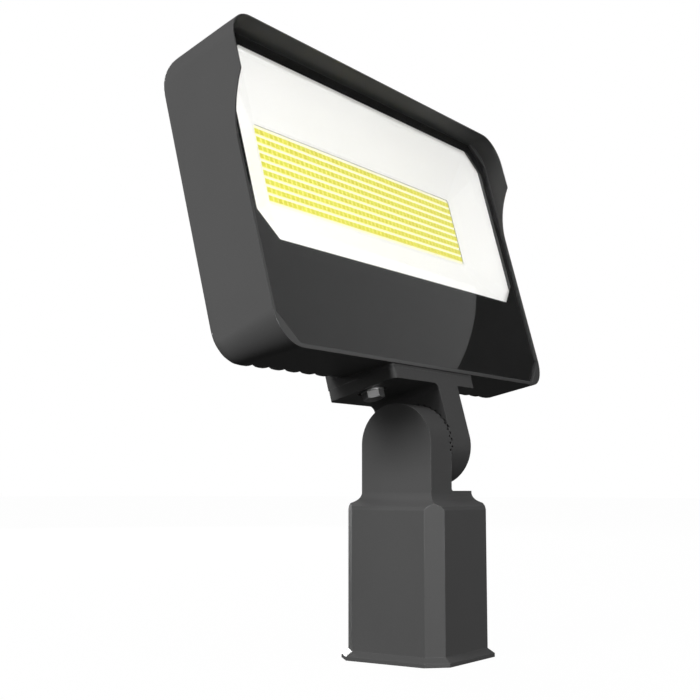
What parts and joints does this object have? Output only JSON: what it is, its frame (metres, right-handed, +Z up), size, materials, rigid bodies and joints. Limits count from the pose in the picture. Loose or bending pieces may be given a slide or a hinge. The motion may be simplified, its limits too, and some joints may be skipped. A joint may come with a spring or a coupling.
{
  "type": "led flood light",
  "caption": "Rectangular LED flood light with a finned, visored housing on a serrated knuckle and a square slipfitter for a pole tenon.",
  "frame": {"origin": "centre of the tenon bore's mouth, at the foot of the slipfitter", "axes": "+Z up along the tenon bore, the light faces -Y and +X is to the right seen from its front"},
  "size_m": [0.3486, 0.1308, 0.4071],
  "materials": {
    "casting": "die-cast aluminium under a matte dark grey powder coat",
    "screw_steel": "plain stainless steel",
    "washer_steel": "plain stainless steel",
    "clear_glass": "clear tempered glass",
    "black_print": "black ceramic print",
    "seal_rubber": "matte silicone",
    "white_sheet": "satin white sheet",
    "board": "white solder mask on an aluminium core",
    "phosphor": "yellow phosphor",
    "pad_rubber": "soft grey silicone",
    "white_plastic": "moulded nylon",
    "driver_case": "plain sheet case",
    "blue_plastic": "moulded case",
    "green_screw": "green plated steel",
    "red_insulation": "silicone insulation",
    "black_insulation": "silicone insulation",
    "black_plastic": "moulded nylon"
  },
  "bodies": {
    "fitter": {"slipfitter": "casting", "set_screws": "screw_steel", "pivot_bolt": "screw_steel", "pivot_spring_washer": "washer_steel", "pivot_flat_washer": "washer_steel"},
    "head": {"knuckle_bracket": "casting", "bracket_bolts": "screw_steel", "bracket_washers": "washer_steel", "housing": "casting", "glass_lens": "clear_glass", "glass_border": "black_print", "lens_seal": "seal_rubber", "reflector": "white_sheet", "reflector_screws": "screw_steel", "led_board": "board", "led_chips": "phosphor", "thermal_pad": "pad_rubber", "board_screws": "screw_steel", "board_connector": "white_plastic", "driver": "driver_case", "driver_screws": "screw_steel", "surge_protector": "blue_plastic", "terminal_block": "white_plastic", "ground_screw": "green_screw", "lead_red": "red_insulation", "lead_black": "black_insulation", "supply_leads": "black_insulation", "cable_gland": "black_plastic", "gland_nut": "black_plastic", "gland_seal": "seal_rubber", "gland_locknut": "black_plastic", "breather_vent": "black_plastic"}
  },
  "joints": [
    {"name": "head_tilt", "type": "hinge", "parent": "fitter", "child": "head", "pos_m": [0, 0, 0.14287], "axis": [1, 0, 0], "range_deg": [-75, 105]}
  ]
}
